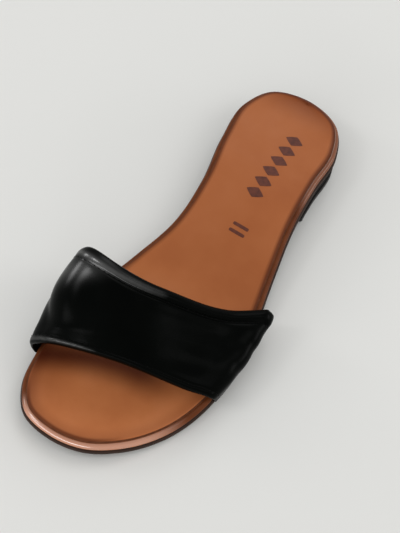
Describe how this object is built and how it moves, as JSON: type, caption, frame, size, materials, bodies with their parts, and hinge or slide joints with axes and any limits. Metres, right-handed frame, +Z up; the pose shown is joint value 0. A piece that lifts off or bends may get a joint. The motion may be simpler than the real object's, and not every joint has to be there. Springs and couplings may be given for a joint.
{
  "type": "slide sandal",
  "caption": "Flat slide sandal for the left foot: a wide padded black leather strap over a tan leather insole, with a thin rubber outsole and a low block heel.",
  "frame": {"origin": "middle of the sandal's box, on the floor plane that heel and forefoot stand on", "axes": "+X towards the medial side of the foot, +Y towards the toe, +Z up"},
  "size_m": [0.104, 0.2562, 0.0591],
  "materials": {
    "sole_rubber": "matte dark brown sole rubber",
    "rim_leather": "polished leather, inked dark brown",
    "tan_leather": "smooth tan leather with a soft sheen",
    "black_leather": "smooth soft black leather, slightly glossy",
    "heel_lacquer": "black lacquer",
    "heel_rubber": "matte black rubber"
  },
  "bodies": {
    "root": {"outsole": "sole_rubber", "footbed": "rim_leather", "insole": "tan_leather", "strap": "black_leather", "heel_block": "heel_lacquer", "heel_toplift": "heel_rubber"}
  },
  "joints": []
}
